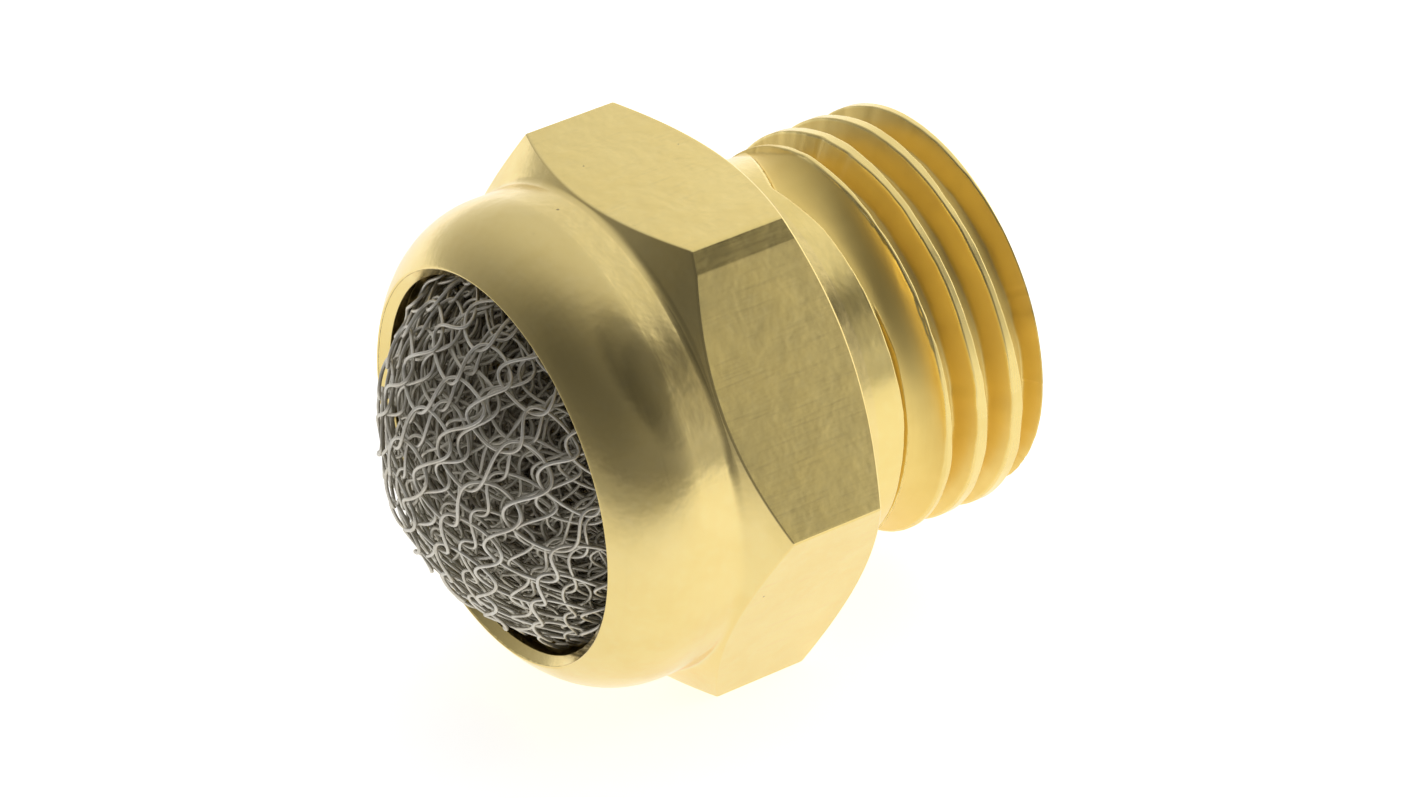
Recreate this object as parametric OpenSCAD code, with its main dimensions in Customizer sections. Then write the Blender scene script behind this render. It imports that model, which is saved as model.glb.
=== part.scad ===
// Pneumatic exhaust silencer: a hexagon-bar brass body, turned in one piece
// with its pipe thread and its rolled collar, that holds a domed plug of
// knitted stainless-steel wire.
//
// Frame: +Y runs along the thread axis, out of the threaded end. +Z is up,
// the normal of the hexagon flat opposite the one the silencer lies on. The
// origin is on the thread axis, in the plane of the ring-shaped sealing face
// behind the hexagon. Lengths are in millimetres.

/* [Thread] */
// Diameter over the crests of the parallel pipe thread
thread_d = 13.157; // [12.9:0.001:13.4]
// Distance from one crest to the next
pitch = 1.337; // [1.25:0.001:1.4]
// Width of the flat left on each crest
crest_w = 0.25; // [0.15:0.01:0.3]
// Included angle between the two flanks of a groove
flank_a = 55; // [50:1:60]
// Depth of a groove from crest to root
groove_depth = 0.856; // [0.6:0.001:0.9]
// Length of the shank from the sealing face to its tip
shank_l = 7.5; // [6.8:0.1:8.5]
// Diameter of the smooth neck between the sealing face and the first crest
neck_d = 12.6; // [12.2:0.05:12.8]
// Length of the smooth neck
neck_l = 2.02; // [1.6:0.01:2.6]
// Diameter of the tip face, inside the lead chamfer
tip_d = 11.8; // [11.2:0.1:12.2]

/* [Hexagon] */
// Width across the flats of the spanner hexagon
hex_af = 16; // [15.9:0.05:17]
// Distance from the sealing face to the front end of the hexagon's corners
hex_front = 4.2; // [3.8:0.1:4.6]
// Diameter of the sealing face
seat_d = 15; // [14.4:0.1:15.4]
// Angle of the rear corner chamfer, measured from the sealing face
rear_chamfer_a = 30; // [20:1:40]
// Angle of the front corner chamfer, measured from the sealing face
front_chamfer_a = 36; // [30:1:42]

/* [Collar] */
// Greatest diameter of the rounded collar
collar_d = 15.8; // [15.4:0.05:15.85]
// Radius of the arc that rounds the collar towards its lip
collar_arc = 3.25; // [3:0.05:3.5]
// Distance from the sealing face to the start of that arc
collar_y = 6.38; // [6.2:0.02:6.5]
// Diameter of the groove between the hexagon and the collar
groove_d = 15.5; // [15:0.05:15.6]
// Diameter of the crest line of the rolled lip
lip_d = 12.93; // [12.8:0.01:13.1]
// Diameter of the lip's sharp inner edge
mouth_d = 12.3; // [12.2:0.02:12.4]

/* [Passage] */
// Diameter of the chamber that holds the wire plug
chamber_d = 12.9; // [12.7:0.05:12.95]
// Distance from the sealing face to the shoulder at the chamber's rear
chamber_end = 2.5; // [2.2:0.1:3]
// Diameter of the air inlet through the threaded shank
bore_d = 8.8; // [7:0.1:9.2]
// Included angle of the drilled shoulder between chamber and inlet
drill_a = 118; // [90:1:135]

/* [Wire plug] */
// Radius of the domed front of the knitted plug
dome_r = 7; // [6.9:0.02:7.04]
// Distance from the sealing face to the centre of the dome's sphere
dome_y = 4.92; // [4.8:0.02:5]
// Radial clearance between the plug and the chamber wall
plug_gap = 0.05; // [0.03:0.01:0.1]
// Thickness of one folded layer of the knitted stocking
layer_t = 0.45; // [0.35:0.01:0.5]
// Clearance left between two neighbouring layers
layer_gap = 0.04; // [0.02:0.01:0.06]

/* [Hidden] */
$fn = 96;
eps = 0.01;
thread_r = thread_d / 2;
root_r = thread_r - groove_depth;
neck_r = neck_d / 2;
corner_r = hex_af / sqrt(3);
seat_r = seat_d / 2;
collar_r = collar_d / 2;
lip_r = lip_d / 2;
mouth_r = mouth_d / 2;
chamber_r = chamber_d / 2;
bore_r = bore_d / 2;
tip_r = tip_d / 2;
flank_w = groove_depth * tan(flank_a / 2);
root_w = pitch - crest_w - 2 * flank_w;
crest_n = ceil((shank_l - neck_l) / pitch) + 1;
groove_r = groove_d / 2;
// Where the drilled shoulder has narrowed to the inlet bore.
bore_end = chamber_end - (chamber_r - bore_r) / tan(drill_a / 2);
// The lip's crest is where the collar's arc has come in to the lip's radius.
lip_y = collar_y + sqrt(pow(collar_arc, 2) - pow(lip_r - collar_r + collar_arc, 2));
// Depth of the lip's inner face, from its crest to its sharp inner edge.
lip_in = 0.91 * (lip_r - mouth_r);
plug_r = chamber_r - plug_gap;
plug_back = chamber_end + 0.1;

brass = [0.85, 0.74, 0.45];
steel = [0.55, 0.54, 0.51];

// Everything is turned about local Z and then laid along Y. Local +Z is
// the row's +Y, so the plug's side of the body is at negative local z.
module lay() { rotate([-90, 0, 0]) children(); }

// Half the section of the threaded shank: smooth neck, crests, lead chamfer.
function crest_start(k) = neck_l + (thread_r - neck_r) * tan(flank_a / 2) + k * pitch;
function crest_points(k) = [
  [thread_r, crest_start(k)],
  [thread_r, crest_start(k) + crest_w],
  [root_r, crest_start(k) + crest_w + flank_w],
  [root_r, crest_start(k) + crest_w + flank_w + root_w]
];
module shank_section() {
  intersection() {
    polygon(concat(
      [[0, -1], [neck_r, -1], [neck_r, neck_l]],
      [for (k = [0 : crest_n]) each crest_points(k)],
      [[0, crest_start(crest_n) + crest_w + flank_w + root_w]]));
    polygon([[0, -1], [thread_r + 1, -1],
      [thread_r + 1, shank_l - (thread_r + 1 - tip_r)], [tip_r, shank_l], [0, shank_l]]);
  }
}

// Spanner hexagon with a flat up, its corners chamfered at both ends.
module hexagon() {
  intersection() {
    translate([0, 0, -6.2]) cylinder(h = 6.2, r = corner_r, $fn = 6);
    rotate_extrude() polygon([
      [0, 0], [seat_r, 0],
      [corner_r + 0.5, -(corner_r + 0.5 - seat_r) * tan(rear_chamfer_a)],
      [corner_r + 0.5, -hex_front + 0.5 * tan(front_chamfer_a)],
      [6.6, -hex_front - (corner_r - 6.6) * tan(front_chamfer_a)],
      [0, -hex_front - (corner_r - 6.6) * tan(front_chamfer_a)]]);
  }
}

// Half the section of the collar: groove, short land, arc down to the lip.
module collar_section() {
  groove_y = hex_front + (corner_r - groove_r) * tan(front_chamfer_a);
  polygon([[0, -3], [groove_r, -3], [groove_r, -groove_y - 0.03],
    [collar_r, -groove_y - 0.18], [collar_r, -collar_y], [0, -collar_y]]);
  intersection() {
    translate([collar_r - collar_arc, -collar_y]) circle(r = collar_arc);
    translate([0, -lip_y - 0.5]) square([collar_r + 1, lip_y + 0.5 - collar_y + eps]);
  }
}

// Half the section of the passage: mouth, undercut lip, chamber, shoulder.
module chamber_section() {
  polygon([
    [0, -lip_y - 4 * lip_in], [mouth_r + 5 * (lip_r - mouth_r), -lip_y - 4 * lip_in],
    [mouth_r, -lip_y + lip_in], [mouth_r + 0.12, -lip_y + lip_in + 0.25], [chamber_r, -lip_y + lip_in + 0.6],
    [chamber_r, -chamber_end], [bore_r, -bore_end], [0, -bore_end]]);
}

// Brass body: shank, hexagon and collar in one piece of bar.
module body() {
  color(brass) lay() difference() {
    union() {
      rotate_extrude() shank_section();
      hexagon();
      rotate_extrude() collar_section();
    }
    rotate_extrude() chamber_section();
    translate([0, 0, -bore_end - 0.5]) cylinder(h = shank_l + bore_end + 1, r = bore_r);
    translate([0, 0, shank_l - 0.3]) cylinder(h = 0.3 + eps, r1 = bore_r, r2 = bore_r + 0.3 + eps);
  }
}

// Half the section of the plug after k layers are peeled from its outside,
// grown outwards by grow and backwards by back.
module plug_section(k, grow = 0, back = 0) {
  peel = k * layer_t - grow;
  intersection() {
    translate([0, -dome_y]) circle(r = dome_r - peel);
    translate([0, -dome_y - dome_r - 1])
      square([plug_r - peel, dome_r + 1 + dome_y - plug_back + back]);
  }
}

// One cup-shaped layer of the folded stocking, open towards the inlet.
module knit_layer(k) {
  lay() rotate_extrude() difference() {
    plug_section(k);
    plug_section(k + 1, layer_gap, 1);
  }
}

module knit_outer() { color(steel) knit_layer(0); }
module knit_second() { color(steel * 0.93) knit_layer(1); }
module knit_third() { color(steel * 0.86) knit_layer(2); }
module knit_fourth() { color(steel * 0.79) knit_layer(3); }

// Crumpled middle of the plug.
module knit_core() { color(steel * 0.7) lay() rotate_extrude() plug_section(4); }

body();
knit_outer();
knit_second();
knit_third();
knit_fourth();
knit_core();
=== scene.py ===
"""Looks for the brass exhaust muffler: a turned hexagon-bar body with a real helical pipe thread,
and a domed plug of knitted steel wire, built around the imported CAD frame. Metres, +Y along the thread."""

import math

import bpy
import numpy as np
from mathutils import Matrix, Vector


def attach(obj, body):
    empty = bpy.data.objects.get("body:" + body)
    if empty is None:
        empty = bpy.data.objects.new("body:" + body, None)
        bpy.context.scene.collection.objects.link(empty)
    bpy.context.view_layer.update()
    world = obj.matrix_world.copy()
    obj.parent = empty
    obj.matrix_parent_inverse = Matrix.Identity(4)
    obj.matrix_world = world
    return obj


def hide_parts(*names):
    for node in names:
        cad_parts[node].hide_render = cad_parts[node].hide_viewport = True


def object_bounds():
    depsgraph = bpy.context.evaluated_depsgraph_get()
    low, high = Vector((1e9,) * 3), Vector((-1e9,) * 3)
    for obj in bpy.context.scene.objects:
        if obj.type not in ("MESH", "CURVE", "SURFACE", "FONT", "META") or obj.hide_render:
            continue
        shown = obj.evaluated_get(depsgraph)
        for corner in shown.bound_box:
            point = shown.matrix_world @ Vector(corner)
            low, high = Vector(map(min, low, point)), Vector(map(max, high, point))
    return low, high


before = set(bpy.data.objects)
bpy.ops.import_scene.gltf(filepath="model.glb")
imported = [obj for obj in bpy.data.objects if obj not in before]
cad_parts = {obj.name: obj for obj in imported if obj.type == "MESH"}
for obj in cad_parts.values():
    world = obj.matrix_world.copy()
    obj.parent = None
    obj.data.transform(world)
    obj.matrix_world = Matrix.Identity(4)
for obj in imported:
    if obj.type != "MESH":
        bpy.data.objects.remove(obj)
cad_bounds = [list(map(float, corner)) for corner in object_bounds()]
MM = 0.001
ROOT = "root"


# ---------------------------------------------------------------- helpers
def smooth(a, b, x):
    t = np.clip((x - a) / (b - a), 0.0, 1.0)
    return t * t * (3.0 - 2.0 * t)


def smin(a, b, k):
    h = np.clip(0.5 + 0.5 * (b - a) / k, 0.0, 1.0)
    return b * (1.0 - h) + a * h - k * h * (1.0 - h)


def smax(a, b, k):
    return -smin(-a, -b, k)


def hash2(ix, iy, seed):
    n = (ix.astype(np.int64) * 374761393 + iy.astype(np.int64) * 668265263 + seed * 982451653) & 0xFFFFFFFF
    n = ((n ^ (n >> 13)) * 1274126177) & 0xFFFFFFFF
    n = n ^ (n >> 16)
    return (n & 0xFFFFFF) / float(0xFFFFFF) * 2.0 - 1.0


def noise2(x, y, seed, wrap=0):
    """Value noise from -1 to 1; wrap repeats it in x."""
    x, y = np.broadcast_arrays(np.asarray(x, float), np.asarray(y, float))
    ix, iy = np.floor(x), np.floor(y)
    fx, fy = x - ix, y - iy
    fx, fy = fx * fx * (3 - 2 * fx), fy * fy * (3 - 2 * fy)
    x0, x1 = (ix % wrap, (ix + 1) % wrap) if wrap else (ix, ix + 1)
    a, b = hash2(x0, iy, seed), hash2(x1, iy, seed)
    c, d = hash2(x0, iy + 1, seed), hash2(x1, iy + 1, seed)
    return (a * (1 - fx) + b * fx) * (1 - fy) + (c * (1 - fx) + d * fx) * fy


def new_mesh(name, verts, faces, material_index=None, closed_ends=()):
    """verts (n, 3) in metres, faces (m, 4) quads, closed_ends a list of index rings that get one n-gon each."""
    mesh = bpy.data.meshes.new(name)
    loops = faces.reshape(-1)
    starts = np.arange(len(faces)) * 4
    totals = np.full(len(faces), 4)
    if len(closed_ends):
        ring = np.asarray(closed_ends, dtype=np.int64)
        n = ring.shape[1]
        starts = np.concatenate([starts, len(loops) + np.arange(len(ring)) * n])
        totals = np.concatenate([totals, np.full(len(ring), n)])
        loops = np.concatenate([loops, ring.reshape(-1)])
    mesh.vertices.add(len(verts))
    mesh.vertices.foreach_set("co", np.ascontiguousarray(verts, dtype=np.float32).reshape(-1))
    mesh.loops.add(len(loops))
    mesh.loops.foreach_set("vertex_index", loops.astype(np.int32))
    mesh.polygons.add(len(starts))
    mesh.polygons.foreach_set("loop_start", starts.astype(np.int32))
    mesh.polygons.foreach_set("loop_total", totals.astype(np.int32))
    mesh.polygons.foreach_set("use_smooth", np.ones(len(starts), dtype=bool))
    if material_index is not None:
        mesh.polygons.foreach_set("material_index", material_index.astype(np.int32))
    mesh.update(calc_edges=True)
    mesh.validate()
    ob = bpy.data.objects.new(name, mesh)
    bpy.context.scene.collection.objects.link(ob)
    return ob


# ---------------------------------------------------------------- node helpers
class Nodes:
    """Short names for building a node tree."""

    def __init__(self, tree):
        self.t = tree
        tree.nodes.clear()

    def add(self, kind, **settings):
        n = self.t.nodes.new(kind)
        for k, v in settings.items():
            setattr(n, k, v)
        return n

    def link(self, a, b):
        self.t.links.new(a, b)

    def put(self, socket, value):
        if hasattr(value, "links") or isinstance(value, bpy.types.NodeSocket):
            self.link(value, socket)
        else:
            socket.default_value = value

    def math(self, op, a, b=0.0, c=0.0, clamp=False):
        n = self.add("ShaderNodeMath", operation=op, use_clamp=clamp)
        for s, v in zip(n.inputs, (a, b, c)):
            self.put(s, v)
        return n.outputs[0]

    def vmath(self, op, a, b=None):
        n = self.add("ShaderNodeVectorMath", operation=op)
        self.put(n.inputs[0], a)
        if b is not None:
            self.put(n.inputs[1], b)
        return n.outputs["Value"] if op in ("DOT_PRODUCT", "LENGTH") else n.outputs[0]

    def scale(self, vec, factors):
        return self.vmath("MULTIPLY", vec, factors)

    def noise(self, vec, scale, detail=2.0, rough=0.5, distortion=0.0):
        n = self.add("ShaderNodeTexNoise")
        self.put(n.inputs["Vector"], vec)
        n.inputs["Scale"].default_value = scale
        n.inputs["Detail"].default_value = detail
        n.inputs["Roughness"].default_value = rough
        n.inputs["Distortion"].default_value = distortion
        return n.outputs["Fac"]

    def voronoi(self, vec, scale, feature="F1"):
        n = self.add("ShaderNodeTexVoronoi", feature=feature)
        self.put(n.inputs["Vector"], vec)
        n.inputs["Scale"].default_value = scale
        return n

    def ramp(self, fac, stops, interp="LINEAR"):
        n = self.add("ShaderNodeValToRGB")
        n.color_ramp.interpolation = interp
        e = n.color_ramp.elements
        while len(e) < len(stops):
            e.new(0.5)
        for i, (pos, col) in enumerate(stops):
            e[i].position = pos
            e[i].color = col if len(col) == 4 else (*col, 1.0)
        self.put(n.inputs[0], fac)
        return n.outputs["Color"]

    def range(self, v, a, b, c, d, kind="SMOOTHSTEP"):
        n = self.add("ShaderNodeMapRange", interpolation_type=kind)
        self.put(n.inputs["Value"], v)
        for k, x in zip(("From Min", "From Max", "To Min", "To Max"), (a, b, c, d)):
            n.inputs[k].default_value = x
        return n.outputs["Result"]

    def mix(self, fac, a, b, blend="MIX"):
        n = self.add("ShaderNodeMix", data_type="RGBA", blend_type=blend)
        self.put(n.inputs[0], fac)
        self.put(n.inputs[6], a)
        self.put(n.inputs[7], b)
        return n.outputs[2]

    def bump(self, height, distance, strength=1.0, normal=None):
        n = self.add("ShaderNodeBump")
        n.inputs["Strength"].default_value = strength
        n.inputs["Distance"].default_value = distance
        self.put(n.inputs["Height"], height)
        if normal is not None:
            self.link(normal, n.inputs["Normal"])
        return n.outputs["Normal"]


def material(name):
    m = bpy.data.materials.new(name)
    m.use_nodes = True
    return m, Nodes(m.node_tree)


# ---------------------------------------------------------------- materials
BRASS = np.array((0.87, 0.69, 0.29))
BRASS_DEEP = np.array((0.85, 0.665, 0.265))
BRASS_PALE = np.array((0.88, 0.715, 0.33))


def brass(name, kind):
    """kind: turned (rings round the axis), bar (drawn lines along it, small pits) or thread."""
    m, n = material(name)
    out = n.add("ShaderNodeOutputMaterial")
    p = n.add("ShaderNodeBsdfPrincipled")
    n.link(p.outputs[0], out.inputs[0])
    obj = n.add("ShaderNodeTexCoord").outputs["Object"]
    mm = n.scale(obj, (1000.0, 1000.0, 1000.0))
    # broad, faint unevenness of the metal
    blotch = n.noise(mm, 0.55, 3.0, 0.55, 0.3)
    fine = n.noise(mm, 3.2, 3.0, 0.6)
    if kind == "bar":
        lines = n.noise(n.scale(mm, (9.0, 0.55, 9.0)), 1.0, 4.0, 0.65)
    else:
        lines = n.noise(n.scale(mm, (0.10, 15.0, 0.10)), 1.0, 5.0, 0.7)
    pit_cells = n.voronoi(n.scale(mm, (1.0, 1.0, 1.0)), 1.15 if kind == "bar" else 0.8)
    pit_size = n.range(n.noise(mm, 1.7, 1.0), 0.52, 0.75, 0.0, 0.085, "LINEAR")
    pits = n.math("LESS_THAN", pit_cells.outputs["Distance"], pit_size)
    tint = np.array({"turned": (1.0, 1.0, 1.0), "bar": (0.98, 0.975, 0.90), "thread": (1.0, 1.0, 0.93)}[kind])
    base = n.mix(n.range(blotch, 0.35, 0.68, 0.0, 1.0), (*(BRASS * tint), 1), (*(BRASS_DEEP * tint), 1))
    base = n.mix(n.math("MULTIPLY", n.range(fine, 0.45, 0.75, 0.0, 1.0), 0.35), base, (*(BRASS_PALE * tint), 1))
    base = n.mix(n.math("MULTIPLY", n.range(lines, 0.30, 0.45, 1.0, 0.0), 0.22 if kind == "bar" else 0.12), base, (0.62, 0.50, 0.22, 1))
    base = n.mix(n.math("MULTIPLY", pits, 0.8), base, (0.30, 0.24, 0.12, 1))
    n.link(base, p.inputs["Base Color"])
    p.inputs["Metallic"].default_value = 1.0
    lo, hi = {"turned": (0.15, 0.25), "bar": (0.14, 0.22), "thread": (0.22, 0.32)}[kind]
    rough = n.math("ADD", n.range(blotch, 0.3, 0.7, lo, hi, "LINEAR"), n.math("MULTIPLY", n.math("SUBTRACT", lines, 0.5), 0.12))
    if kind == "thread":  # the cut flanks are rougher than the turned neck and the crests, and their deeper golden colour is painted reflection of light bounced between the flanks
        sep = n.add("ShaderNodeSeparateXYZ")
        n.link(mm, sep.inputs[0])
        radius = n.vmath("LENGTH", n.scale(mm, (1.0, 0.0, 1.0)))
        neck = n.math("MULTIPLY", n.range(radius, 6.20, 6.28, 0.0, 1.0), n.range(sep.outputs[1], 2.3, 2.6, 1.0, 0.0))
        shiny = n.math("MAXIMUM", neck, n.range(radius, 6.46, 6.54, 0.0, 1.0))
        rough = n.math("ADD", rough, n.range(shiny, 0.0, 1.0, 0.18, 0.0, "LINEAR"))
        rough = n.math("SUBTRACT", rough, n.math("MULTIPLY", neck, 0.09))
        # painted reflection: the cut flanks take a deeper, more saturated gold in place of the light bounced between
        # them
        cut = n.math("SUBTRACT", 1.0, shiny)
        base = n.mix(n.math("MULTIPLY", cut, 0.75), base, (0.87, 0.645, 0.20, 1))
        n.link(base, p.inputs["Base Color"])
    n.link(rough, p.inputs["Roughness"])
    if kind != "bar":
        p.inputs["Anisotropic"].default_value = 0.35
        tangent = n.add("ShaderNodeTangent", direction_type="RADIAL", axis="Y")
        n.link(tangent.outputs[0], p.inputs["Tangent"])
    b = n.bump(lines, (0.0016 if kind == "bar" else 0.0007) * MM, 1.0)
    b = n.bump(blotch, 0.012 * MM, 1.0, b)
    b = n.bump(n.noise(mm, 1.9, 2.0, 0.5), {"turned": 0.0075, "bar": 0.004, "thread": 0.003}[kind] * MM, 1.0, b)
    b = n.bump(n.math("MULTIPLY", pits, -1.0), 0.02 * MM, 1.0, b)
    n.link(b, p.inputs["Normal"])
    return m


def steel(name, shade, rough_lo, rough_hi, painted_shade=None):
    """Bright wire; with painted_shade, the plies further inside the dome get a darker base colour: painted shade for
    the dark inside of the plug.
    """
    m, n = material(name)
    out = n.add("ShaderNodeOutputMaterial")
    p = n.add("ShaderNodeBsdfPrincipled")
    n.link(p.outputs[0], out.inputs[0])
    obj = n.add("ShaderNodeTexCoord").outputs["Object"]
    mm = n.scale(obj, (1000.0, 1000.0, 1000.0))
    slow = n.noise(mm, 1.3, 2.0, 0.5)
    fine = n.noise(mm, 14.0, 3.0, 0.6)
    c = np.array(shade)
    base = n.mix(n.range(slow, 0.35, 0.65, 0.0, 1.0), (*c, 1), (*(c * np.array((0.92, 0.90, 0.86))), 1))
    base = n.mix(n.math("MULTIPLY", n.range(fine, 0.5, 0.8, 0.0, 1.0), 0.25), base, (*(c * 0.7), 1))
    # painted shade: the base colour darkens with depth inside the dome
    if painted_shade is not None:
        depth = n.vmath("LENGTH", n.vmath("SUBTRACT", mm, (0.0, -4.92, 0.0)))
        base = n.mix(n.range(depth, 6.45, 6.90, 1.0, 0.0), base, (*painted_shade, 1))
    n.link(base, p.inputs["Base Color"])
    p.inputs["Metallic"].default_value = 1.0
    n.link(n.range(fine, 0.3, 0.7, rough_lo, rough_hi, "LINEAR"), p.inputs["Roughness"])
    n.link(n.bump(fine, 0.002 * MM, 1.0), p.inputs["Normal"])
    return m


brass_turned = brass("brass_turned", "turned")
brass_bar = brass("brass_bar", "bar")
brass_thread = brass("brass_thread", "thread")
# Lit and shaded copies of one wire: the darker colours of the inner plies and of the core are painted shade.
steel_top = steel("steel_wire", (0.76, 0.73, 0.655), 0.46, 0.62, (0.66, 0.625, 0.53))
steel_painted_shade = steel("steel_wire_inner_painted_shade", (0.64, 0.60, 0.51), 0.48, 0.64)


# ---------------------------------------------------------------- body
AF2, SEAT_R, NECK_R = 8.0, 7.5, 6.3
PITCH, CREST_R, ROOT_R = 1.337, 6.5785, 5.80
TAN = math.tan(math.radians(27.5))


def columns():
    """Angles round the axis in degrees from +Z towards +X, closer together at the hexagon's corners."""
    fine = [0.12, 0.25, 0.4, 0.62]
    phi = set(np.arange(-180.0, 180.0, 1.0).tolist())
    for c in range(-150, 180, 60):
        for d in fine:
            phi |= {c - d, c + d}
    phi |= {33.2, 33.4, 33.6, 33.8, 34.2}
    return np.array(sorted(phi))


def hexagon_radius(phi):
    best = []
    for k in range(6):
        d = (phi - 60.0 * k + 180.0) % 360.0 - 180.0
        ok = np.abs(d) < 80
        c = np.cos(np.radians(np.where(ok, d, 0)))
        t = AF2 * np.tan(np.radians(np.where(ok, d, 0)))
        flat = np.full_like(phi, AF2)
        if k == 1:  # a narrow tipped strip along one corner, left by the bar's die
            flat = flat - 0.15 * np.maximum(0, -3.93 - t)
        best.append(np.where(ok, flat / c, 99.0))
    best = np.sort(np.stack(best), axis=0)
    return smin(best[0], best[1], 0.07)


def thread_radius(y, phi):
    """Radius of the threaded shank at y (rows, 1) and phi (1, columns)."""
    base = 4.59 + PITCH * (phi - 91.0) / 360.0
    k0 = np.floor((y - base) / PITCH)
    narrow = np.interp(phi, [-180, -60, 0, 30, 62, 92, 180], [1, 1, 0.85, 0.60, 0.60, 1.0, 1.0])
    ridge = np.full(np.broadcast(y, phi).shape, -99.0)
    for dk in (-1, 0, 1, 2):
        front = base + (k0 + dk) * PITCH  # nominal front edge of this crest, also its place along the helix
        wide = smooth(3.55, 4.05, front)
        wob = 0.020 * noise2(front * 31.0, front * 0 + 3, 11) + 0.014 * noise2(front * 75.0, front * 0 + 7, 12)
        wob2 = 0.022 * noise2(front * 27.0, front * 0 + 13, 17) + 0.014 * noise2(front * 67.0, front * 0 + 9, 18)
        nick = 0.10 * np.maximum(0, noise2(front * 140.0, front * 0 + 5, 23) - 0.50)
        nick = nick * smooth(0.0, 0.4, noise2(front * 9.0, front * 0 + 8, 29))
        a = front + 0.16 * (1 - wide) + wob + nick
        b = front + 0.16 * (1 - wide) + (0.19 + 0.17 * wide) * narrow + wob2
        b = front + 0.13 + (b - front - 0.13) * smooth(2.60, 2.69, front)  # the run-out ridge widens from its tip
        top = CREST_R - 0.04 * smooth(6.3, 6.9, front) + 0.006 * noise2(front * 19.0, front * 0 + 1, 31)
        # the first turn rises out of the neck
        top = NECK_R + 0.02 + (top - NECK_R - 0.02) * smooth(2.74, 2.93, front)
        dist = np.maximum(a - y, y - b)
        r = smin(top + 0 * dist, top - (dist - 0.0) / TAN, 0.035)
        r = np.where(front < 2.60, -99.0, r)
        ridge = np.maximum(ridge, r)
    r = smax(ridge, ROOT_R + 0 * ridge, 0.10)
    # first groove: cut into the neck with a sharp near edge, deeper along the helix; a thin run-out ridge stands in it
    front1 = base - PITCH  # crest 1
    along = np.where(phi < -60, phi + 360, phi)  # angle since the groove's start, on the neck side
    edge = np.interp(along, [-60, -30, 4, 14, 24, 45, 62, 83, 92, 105, 125, 170, 300],
                     [2.95, 2.85, 1.45, 1.60, 1.79, 1.90, 1.95, 2.02, 1.97, 1.90, 1.92, 1.95, 2.00])
    low = np.interp(along, [-60, -30, 4, 30, 60, 150, 240, 300], [6.30, 6.26, 6.08, 5.95, 5.90, 5.86, 5.80, 5.80])
    y0 = np.interp(along, [-60, 57, 90, 104, 118, 170, 240, 300], [2.21, 2.21, 2.18, 2.10, 2.06, 2.22, 2.56, 2.85])
    top0 = np.interp(along, [-60, 48, 66, 118, 240, 300], [5.0, 5.85, 6.24, 6.28, 6.31, 6.32])
    fill = NECK_R - np.interp(along, [-60, 100, 118, 200, 300], [9.0, 9.0, 0.35, 0.15, 0.0])
    start = np.where(phi < -60, front1 + PITCH, front1)
    foot = edge + 0.5 * (NECK_R - low) + 0.02
    foot = foot + smooth(140.0, 230.0, along) * (start - 0.42 - foot)
    late = smooth(190.0, 288.0, along)  # the far flank straightens into the ordinary one over the turn
    rise = np.clip((y - foot) / np.maximum(start + 0.16 * (1 - late) - foot, 0.3), 0.0, 1.0) ** (2.6 - 1.6 * late)
    rise = low + (CREST_R - 0.02 - low) * rise
    rise = np.where(along < 0, low + (rise - low) * smooth(-28.0, 0.0, along), rise)
    side = smax(np.minimum(NECK_R, NECK_R - (y - edge) / 0.45), np.maximum(rise, low), 0.10)
    side = smax(side, top0 - np.abs(y - y0) / 0.5, 0.04)
    side = np.where(y < y0, np.maximum(side, fill), side)
    side = np.minimum(side, CREST_R)
    r_first = smax(side, np.where(y < start + 0.16, r, -99.0), 0.05)
    r = np.where(y < edge, NECK_R, np.where(y < start + 0.14, r_first, r))
    # lead chamfer at the tip
    return smin(r, 5.9 + 1.75 * (7.5 - y) + 0.0 * r, 0.04)


def fillet(p0, p1, p2, t, n):
    """Points of a rounded corner at p1, set back t along both sides."""
    u0, u1 = p0 - p1, p2 - p1
    l0, l1 = np.linalg.norm(u0, axis=1, keepdims=True), np.linalg.norm(u1, axis=1, keepdims=True)
    a = p1 + u0 / l0 * np.minimum(t, 0.45 * l0)
    b = p1 + u1 / l1 * np.minimum(t, 0.45 * l1)
    return [(1 - s) ** 2 * a + 2 * s * (1 - s) * p1 + s * s * b for s in np.linspace(0, 1, n + 1)]


def spread(n):
    """n inner shares of a straight stretch, crowded towards both ends so that its shading stays flat."""
    s = (np.arange(n) + 0.5) / n
    return s - 0.92 * np.sin(2 * np.pi * s) / (2 * np.pi)


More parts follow.
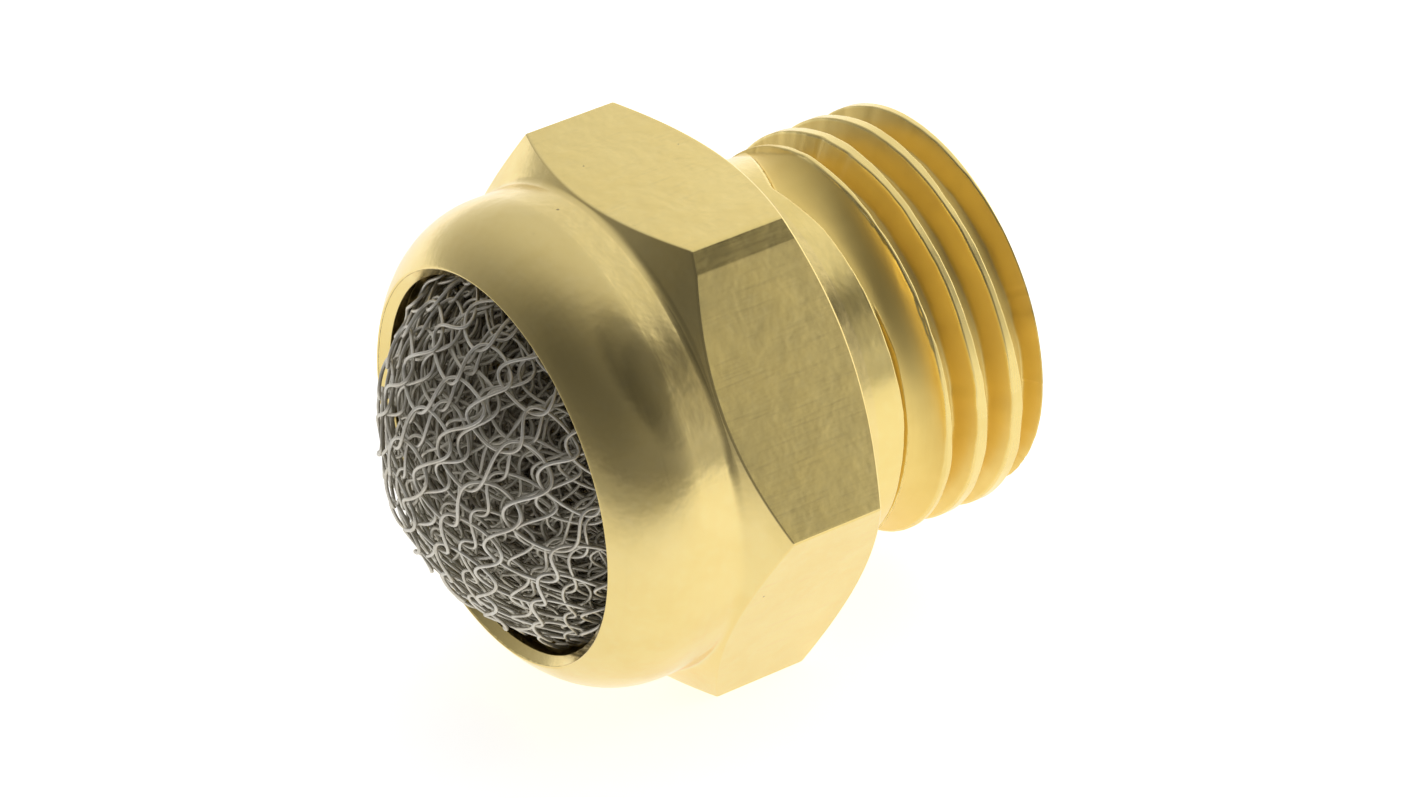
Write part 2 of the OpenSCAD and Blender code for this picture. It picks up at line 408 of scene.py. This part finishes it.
def build_body():
    phi = columns()
    n = len(phi)

    def pt(r, y):
        return np.stack([np.broadcast_to(r, (n,)), np.broadcast_to(y, (n,))], axis=1).astype(float)

    hexr = hexagon_radius(phi)
    cone = math.tan(math.radians(36.0))
    front = -4.2 - (9.2376 - hexr) * cone
    back = -(hexr - SEAT_R) * math.tan(math.radians(30.0))
    arc_c, arc_r = (4.65, -6.38), 3.25
    crest_t = math.acos((6.465 - arc_c[0]) / arc_r)
    wave = 0.004 * noise2((phi + 180) / 15.0, 0 * phi, 41, 24)

    def arc(t):
        return pt(arc_c[0] + arc_r * math.cos(t) + wave, arc_c[1] - arc_r * math.sin(t))

    crest = arc(crest_t)
    lip = pt(6.15 + wave, -8.781)
    rows, zones = [], []

    def polyline(points, zone_of=()):
        """points: (profile point, fillet setback, fillet steps, steps to the next point). Rounds each inner corner."""
        ends = []
        for k, (p, t, _, _) in enumerate(points):
            if k == 0 or k == len(points) - 1 or t == 0:
                ends.append((p, p))
                continue
            q = fillet(points[k - 1][0], p, points[k + 1][0], t, 1)
            ends.append((q[0], q[1]))
        for k, (p, t, steps, count) in enumerate(points):
            if 0 < k < len(points) - 1 and t > 0:
                for q in fillet(points[k - 1][0], p, points[k + 1][0], t, steps):
                    rows.append(q)
                    zones.append(0)
            elif k == 0:
                rows.append(p)
                zones.append(0)
            if k < len(points) - 1:
                zone = 1 if k in zone_of else 0
                if zone:
                    zones[-1] = 1
                for share in spread(count):
                    rows.append(ends[k][1] * (1 - share) + ends[k + 1][0] * share)
                    zones.append(zone)

    # collar, from the lip's crest back to its land
    for q in fillet(lip, crest, arc(crest_t - 0.02), 0.06, 6):
        rows.append(q)
        zones.append(0)
    for t in np.linspace(crest_t - 0.03, 0.03, 46):
        rows.append(arc(t))
        zones.append(0)
    # land, groove, front chamfer, flats, rear chamfer, sealing face, neck
    polyline([
        (arc(0.0), 0, 0, 9),
        (pt(7.9 + wave, -5.172), 0.20, 9, 12),
        (pt(hexr, front), 0.050, 5, 22),
        (pt(hexr, back), 0.040, 4, 8),
        (pt(SEAT_R, 0.0), 0.07, 4, 8),
        (pt(NECK_R, 0.0), 0.14, 5, 8),
        (pt(NECK_R, 1.0), 0, 0, 0)], zone_of=(2,))
    # shank with its thread
    ys = np.concatenate([np.arange(1.03, 2.0, 0.03), np.arange(2.0, 7.47, 0.0205)])
    field = thread_radius(ys[:, None], phi[None, :])
    for i, y in enumerate(ys):
        rows.append(pt(field[i], y))
        zones.append(2)
    # tip, inlet bore, chamber, undercut, lip
    polyline([
        (rows[-1] + (pt(5.9, 7.5) - rows[-1]) * 0.4, 0, 0, 1),
        (pt(5.9, 7.5), 0.02, 3, 8),
        (pt(4.7, 7.5), 0.04, 3, 4),
        (pt(4.4, 7.2), 0.04, 3, 26),
        (pt(4.4, -1.268), 0.1, 4, 6),
        (pt(6.45, -2.5), 0.1, 4, 14),
        (pt(6.45, -8.18), 0.08, 3, 4),
        (pt(6.27, -8.53), 0.05, 3, 3),
        (lip, 0.025, 4, 8),
        (crest + (lip - crest) * 0.12, 0, 0, 0)])

    prof = np.stack(rows)  # rows, columns, (r, y)
    a = np.radians(phi)
    v = np.stack([prof[..., 0] * np.sin(a), prof[..., 1], prof[..., 0] * np.cos(a)], axis=2).reshape(-1, 3) * MM
    m = len(prof)
    i, j = np.meshgrid(np.arange(m), np.arange(n), indexing="ij")
    i2, j2 = (i + 1) % m, (j + 1) % n
    faces = np.stack([i * n + j, i * n + j2, i2 * n + j2, i2 * n + j], axis=2).reshape(-1, 4)
    index = np.repeat(np.array(zones), n)
    ob = new_mesh("muffler_body", v, faces, index)
    for mat in (brass_turned, brass_bar, brass_thread):
        ob.data.materials.append(mat)
    return ob


# ---------------------------------------------------------------- knitted wire
DOME_Y = -4.92


def tubes(paths, normals, radius, sides):
    """Swept round wires. paths: list of (n, 3) in mm, normals: list of (n, 3) unit sheet normals."""
    verts, faces, ends, at = [], [], [], 0
    ang = np.arange(sides) * 2 * np.pi / sides
    ca, sa = np.cos(ang)[None, :, None], np.sin(ang)[None, :, None]
    for p, nrm in zip(paths, normals):
        t = np.gradient(p, axis=0)
        t /= np.linalg.norm(t, axis=1, keepdims=True)
        b = np.cross(t, nrm)
        b /= np.linalg.norm(b, axis=1, keepdims=True)
        c = np.cross(b, t)
        ring = p[:, None, :] + radius * (ca * c[:, None, :] + sa * b[:, None, :])
        n = len(p)
        verts.append(ring.reshape(-1, 3))
        i, j = np.meshgrid(np.arange(n - 1), np.arange(sides), indexing="ij")
        j2 = (j + 1) % sides
        q = np.stack([i * sides + j, (i + 1) * sides + j, (i + 1) * sides + j2, i * sides + j2], axis=2).reshape(-1, 4)
        faces.append(q + at)
        ends.append(at + np.arange(sides))
        ends.append(at + (n - 1) * sides + np.arange(sides)[::-1])
        at += n * sides
    return np.concatenate(verts) * MM, np.concatenate(faces), np.array(ends)


def stitch_sheet(angle, wale, course, seed, shift, swing=0.62, rise=1.2, lift=0.088, lean=0.09, reach=13.0, samples=84, crush=1.0):
    """Rows of interlocking plain-knit loops on a flat sheet.

    Returns a list of (u, v, z) arrays: each is one wire. z is the wire's height over the sheet's middle."""
    ax = np.array([math.cos(angle), math.sin(angle)])
    pp = np.array([math.sin(angle), -math.cos(angle)])
    loops = int(2 * reach / wale) + 3
    rows = int(2 * reach / course) + 3
    out = []
    t = np.linspace(0, 2 * np.pi * loops, loops * samples + 1)
    for j in range(rows):
        jr = j - rows // 2
        slow = noise2(t / 5.1 + 7.3 * jr, 0 * t + jr * 1.37, seed)
        slow2 = noise2(t / 3.7 + 2.9 * jr, 0 * t + jr * 2.11, seed + 1)
        a = swing * (1 + 0.16 * slow)
        h = rise * (1 + 0.10 * slow2)
        s = wale * (t / (2 * np.pi) - loops // 2) + a * np.sin(2 * t) + shift[0] - lean * h * np.cos(t)
        q = course * jr + shift[1] - h * np.cos(t) + 0.10 * noise2(t / 2.3, 0 * t + jr * 3.1, seed + 2)
        z = -lift * np.cos(2 * t) + 0.018 * noise2(t / 1.7, 0 * t + jr * 5.3, seed + 3)
        u, v = s * pp[0] + q * ax[0], s * pp[1] + q * ax[1]
        # the stocking is pushed about by hand: broad and local sliding of its loops
        du = 0.26 * noise2(u / 3.4 + 11, v / 3.4, seed + 4) + 0.10 * noise2(u / 1.3, v / 1.3 + 5, seed + 5)
        dv = 0.26 * noise2(u / 3.4, v / 3.4 + 23, seed + 6) + 0.10 * noise2(u / 1.3 + 9, v / 1.3, seed + 7)
        out.append((u + crush * du, v + crush * dv, z))
    return out


def on_dome(sheet, big_r, side_r, rim, hidden_from, keep=3, dent=0.03, seed=0):
    """Lays a knitted sheet over the dome and down the plug's side. Returns paths and normals, cut at the rim."""
    paths, normals = [], []
    psi_m = math.asin(side_r / big_r)
    y_m = DOME_Y - big_r * math.cos(psi_m)
    for u, v, z in sheet:
        rho, th = np.hypot(u, v), np.arctan2(u, v)
        psi = np.minimum(rho / big_r, psi_m)
        over = np.maximum(rho - big_r * psi_m, 0.0)
        nr, ny = np.where(over > 0, 1.0, np.sin(psi)), np.where(over > 0, 0.0, -np.cos(psi))
        d = z - dent * (1 + noise2(u / 1.9, v / 1.9, seed + 50))
        r = big_r * np.sin(psi) + d * nr
        y = np.where(over > 0, y_m + over, DOME_Y - big_r * np.cos(psi)) + d * ny
        p = np.stack([r * np.sin(th), y, r * np.cos(th)], axis=1)
        nn = np.stack([nr * np.sin(th), ny, nr * np.cos(th)], axis=1)
        inside = y < rim
        idx = np.arange(len(u))
        use = inside & ((rho < hidden_from) | (idx % keep == 0))
        cut = np.flatnonzero(np.diff(inside.astype(int)) != 0)
        for part in np.split(idx, cut + 1):
            part = part[use[part]]
            if len(part) > 6:
                paths.append(p[part])
                normals.append(nn[part])
    return paths, normals


def on_disc(sheet, y0, radius, seed, wave=0.12):
    """A knitted sheet laid flat across the back of the plug."""
    paths, normals = [], []
    for u, v, z in sheet:
        rho = np.hypot(u, v)
        y = y0 - z - wave * (1 + noise2(u / 1.6, v / 1.6, seed))
        p = np.stack([u, y, v], axis=1)
        nn = np.tile(np.array([0.0, 1.0, 0.0]), (len(u), 1))
        inside = rho < radius
        idx = np.arange(len(u))
        cut = np.flatnonzero(np.diff(inside.astype(int)) != 0)
        for part in np.split(idx, cut + 1):
            if inside[part[0]] and len(part) > 6:
                paths.append(p[part])
                normals.append(nn[part])
    return paths, normals


ALPHA = math.radians(65.0)
WIRE_R = 0.060
# name, node, material, plies: (sphere radius, side radius, turn in degrees, seed, shift across, shift along, samples, sides)
LAYERS = [
    ("knit_wire_outer", "knit_outer", steel_top, [
        (6.930, 6.245, 0.0, 3, 2.62 - 1.64, 1.60, 84, 8),
        (6.760, 6.075, 4.0, 19, 1.70, 0.75, 66, 6)]),
    ("knit_wire_second", "knit_second", steel_top, [
        (6.600, 5.905, -6.0, 37, 0.35, 0.25, 60, 6),
        (6.430, 5.735, 9.0, 53, 2.10, 1.15, 54, 5)]),
    ("knit_wire_third", "knit_third", steel_top, [
        (6.240, 5.545, -14.0, 71, 1.20, 0.55, 48, 5),
        (6.050, 5.355, 20.0, 83, 0.10, 1.35, 42, 5)]),
    ("knit_wire_fourth", "knit_fourth", steel_painted_shade, [
        (5.850, 5.155, 47.0, 97, 0.85, 0.95, 42, 5),
        (5.640, 4.945, -30.0, 101, 0.35, 0.55, 36, 4)]),
]


def build_knit():
    made = []
    for name, node, mat, plies in LAYERS:
        parts = []
        for big_r, side_r, turn, seed, s0, a0, samples, sides in plies:
            sheet = stitch_sheet(ALPHA + math.radians(turn), 3.28, 1.60, seed, (s0, a0), samples=samples)
            p, q = on_dome(sheet, big_r, side_r, -2.75, 8.3, seed=seed)
            parts.append(tubes(p, q, WIRE_R, sides))
        made.append(join_tubes(name, parts, mat, node))
    parts = []
    for k in range(6):
        sheet = stitch_sheet(ALPHA + math.radians(75.0 - 55.0 * k), 2.5, 1.25, 111 + 8 * k, (0.4, 0.2), swing=0.5, rise=0.95, samples=30)
        p, q = on_dome(sheet, 5.42 - 0.24 * k, 4.72 - 0.24 * k, -3.0, 6.0, keep=3, dent=0.06, seed=111 + 8 * k)
        parts.append(tubes(p, q, 0.072, 4))
    for k in range(5):
        sheet = stitch_sheet(math.radians(20 + 37 * k), 2.9, 1.45, 140 + 13 * k, (0.3 * k, 0.2 * k), samples=48, crush=1.6, reach=6.5)
        p, q = on_disc(sheet, -2.78 - 0.26 * k, 4.66 - 0.05 * k, 200 + k)
        parts.append(tubes(p, q, WIRE_R, 5))
    made.append(join_tubes("knit_wire_core", parts, steel_painted_shade, "knit_core"))
    return made


def join_tubes(name, parts, mat, node):
    verts, index, ends_all, at = [], [], [], 0
    loops, starts, totals = [], [], []
    pos = 0
    for v, f, e in parts:
        verts.append(v)
        loops.append((f + at).reshape(-1))
        starts.append(pos + np.arange(len(f)) * 4)
        totals.append(np.full(len(f), 4))
        pos += len(f) * 4
        s = e.shape[1]
        loops.append((e + at).reshape(-1))
        starts.append(pos + np.arange(len(e)) * s)
        totals.append(np.full(len(e), s))
        pos += len(e) * s
        at += len(v)
    v, loops, starts, totals = (np.concatenate(x) for x in (verts, loops, starts, totals))
    mesh = bpy.data.meshes.new(name)
    mesh.vertices.add(len(v))
    mesh.vertices.foreach_set("co", v.astype(np.float32).reshape(-1))
    mesh.loops.add(len(loops))
    mesh.loops.foreach_set("vertex_index", loops.astype(np.int32))
    mesh.polygons.add(len(starts))
    mesh.polygons.foreach_set("loop_start", starts.astype(np.int32))
    mesh.polygons.foreach_set("loop_total", totals.astype(np.int32))
    mesh.polygons.foreach_set("use_smooth", np.ones(len(starts), dtype=bool))
    mesh.update(calc_edges=True)
    mesh.validate()
    ob = bpy.data.objects.new(name, mesh)
    bpy.context.scene.collection.objects.link(ob)
    mesh.materials.append(mat)
    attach(ob, ROOT)
    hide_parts(node)
    return ob


body = build_body()
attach(body, ROOT)
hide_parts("body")
wires = build_knit()


# ---------------------------------------------------------------- stage, light, camera
def build_floor():
    """A white table that glows with painted light. This light and its colour fall off towards the dim side of the room,
    except for what the lens sees straight.
    """
    size, z = 0.9, cad_bounds[0][2]
    v = np.array([(-size, -size, z), (size, -size, z), (size, size, z), (-size, size, z)])
    ob = new_mesh("floor", v, np.array([[0, 1, 2, 3]]))
    m, n = material("floor_white")
    out = n.add("ShaderNodeOutputMaterial")
    p = n.add("ShaderNodeBsdfPrincipled")
    n.link(p.outputs[0], out.inputs[0])
    obj = n.add("ShaderNodeTexCoord").outputs["Object"]
    grain = n.noise(obj, 400.0, 2.0)
    seen = n.add("ShaderNodeLightPath").outputs["Is Camera Ray"]
    along = n.vmath("DOT_PRODUCT", n.scale(obj, (1000.0, 1000.0, 1000.0)), direction(27.0, 0.0))
    floor_light_falloff = n.range(along, 8.0, 75.0, 1.0, 0.30)
    floor_light_falloff = n.math("MAXIMUM", floor_light_falloff, seen)
    white = n.mix(grain, (0.93, 0.93, 0.93, 1), (0.95, 0.95, 0.95, 1))
    # painted shade: to everything but the lens the table is greyer
    white = n.mix(seen, (0.55, 0.55, 0.55, 1), white)
    n.link(n.mix(floor_light_falloff, (0, 0, 0, 1), white), p.inputs["Base Color"])
    p.inputs["Roughness"].default_value = 0.45
    p.inputs["Specular IOR Level"].default_value = 0.2
    p.inputs["Emission Color"].default_value = (1, 1, 1, 1)
    # painted light: the table's glow, weaker towards the dim side
    floor_glow = n.math("ADD", n.math("MULTIPLY", floor_light_falloff, 0.82), n.math("MULTIPLY", seen, -0.10))
    n.link(floor_glow, p.inputs["Emission Strength"])
    ob.data.materials.append(m)
    return ob


def direction(az, el):
    """Unit vector towards azimuth az (0 is -Y, 90 is +X) and elevation el, in degrees."""
    a, e = math.radians(az), math.radians(el)
    return (math.sin(a) * math.cos(e), -math.cos(a) * math.cos(e), math.sin(e))


# The studio: white all round, with the dim side of the room behind the camera.
# Each patch: azimuth, elevation, angle inside which it is full, angle where it ends, depth (below zero it is brighter).
DIM = [
    (31.0, -27.0, 58.0, 150.0, 0.82),
    (22.0, 40.0, 22.0, 51.0, 0.35),
    (97.0, 54.0, 25.0, 31.0, 0.54),
    (104.0, 40.0, 23.0, 28.0, 0.46),
    (-80.0, 65.0, 40.0, 89.0, 0.41),
    (130.0, 42.0, 3.0, 12.0, 0.55),
    (182.0, 2.0, 56.0, 62.0, -0.50),
]
WORLD_LIGHT = 1.19


def build_world():
    w = bpy.data.worlds.new("studio")
    bpy.context.scene.world = w
    w.use_nodes = True
    n = Nodes(w.node_tree)
    out = n.add("ShaderNodeOutputWorld")
    bg = n.add("ShaderNodeBackground")
    n.link(bg.outputs[0], out.inputs[0])
    bg.inputs[0].default_value = (1, 1, 1, 1)
    d = n.add("ShaderNodeTexCoord").outputs["Generated"]
    total = None
    for az, el, full, end, depth in DIM:
        dot = n.vmath("DOT_PRODUCT", d, direction(az, el))
        angle = n.math("MULTIPLY", n.math("ARCCOSINE", dot), 180.0 / math.pi)
        keep = n.range(angle, full, end, 1.0 - depth, 1.0)
        total = keep if total is None else n.math("MULTIPLY", total, keep)
    light = n.math("MULTIPLY", total, WORLD_LIGHT)
    seen = n.add("ShaderNodeLightPath").outputs["Is Camera Ray"]  # the backdrop itself stays plain white
    n.link(n.math("MAXIMUM", light, seen), bg.inputs[1])
    bpy.context.scene.view_settings.view_transform = "Standard"


def build_camera():
    az, el, roll = math.radians(57.026), math.radians(31.653), math.radians(-2.809)
    back = Vector((math.sin(az) * math.cos(el), -math.cos(az) * math.cos(el), math.sin(el)))
    right = Vector((math.cos(az), math.sin(az), 0.0))
    up = back.cross(right)
    r2 = math.cos(roll) * right + math.sin(roll) * up
    u2 = -math.sin(roll) * right + math.cos(roll) * up
    at = (-0.792 * right - 0.789 * up + 192.957 * back) * MM
    data = bpy.data.cameras.new("camera")
    data.sensor_fit, data.sensor_width, data.lens = "HORIZONTAL", 36.0, 156.92
    data.clip_start, data.clip_end = 0.005, 20.0
    cam = bpy.data.objects.new("camera", data)
    bpy.context.scene.collection.objects.link(cam)
    cam.matrix_world = Matrix(((r2.x, u2.x, back.x, at.x), (r2.y, u2.y, back.y, at.y), (r2.z, u2.z, back.z, at.z), (0, 0, 0, 1)))
    bpy.context.scene.camera = cam


build_floor()
build_world()
build_camera()

bpy.context.view_layer.update()
